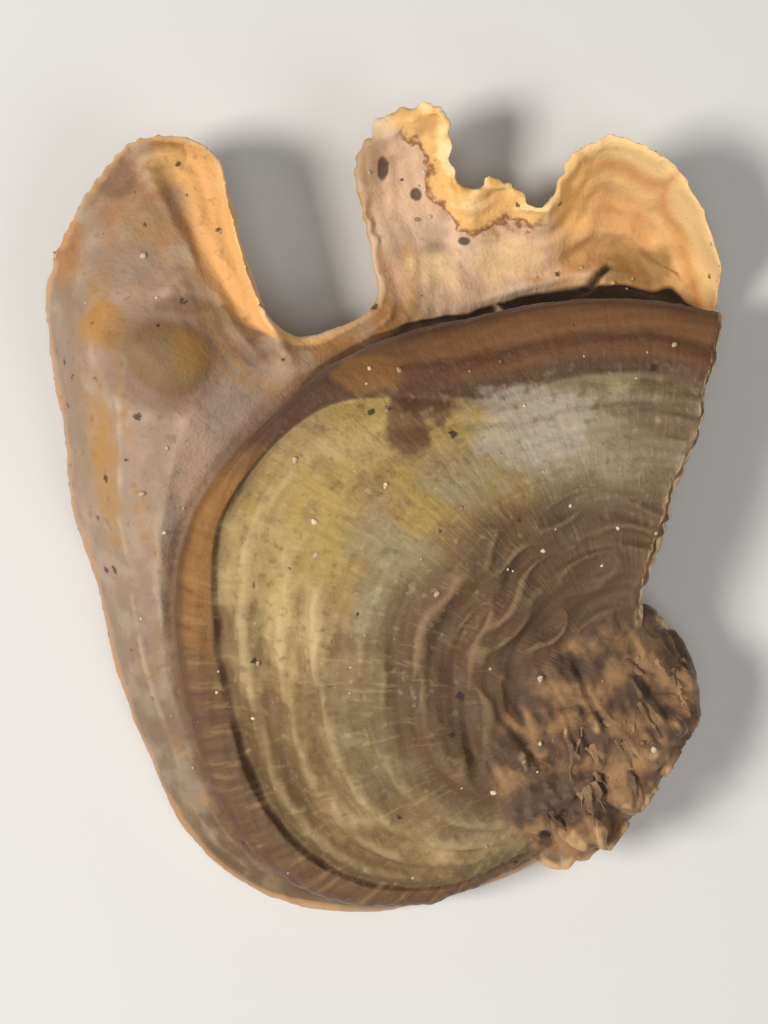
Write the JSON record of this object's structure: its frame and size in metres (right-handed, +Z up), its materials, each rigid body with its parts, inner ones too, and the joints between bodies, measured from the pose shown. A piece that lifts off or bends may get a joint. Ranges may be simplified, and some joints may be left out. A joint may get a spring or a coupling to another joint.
{
  "type": "turkey tail fungus",
  "caption": "Dried turkey tail bracket: a ringed, fan-shaped old cap over a lobed young margin, with a torn foot cut flat where it left the wood, lying on its pore side.",
  "frame": {"origin": "middle of the footprint, on the surface that the bracket lies on", "axes": "+Z up out of the cap's face, +Y along the longest side from the torn foot's end towards the two lobes, +X to the right as one looks down on the cap"},
  "size_m": [0.027, 0.032, 0.0065],
  "materials": {
    "dried_flesh": "dry, matt, velvety in rings of olive, grey, ochre and brown"
  },
  "bodies": {
    "root": {"cap": "dried_flesh"}
  },
  "joints": []
}
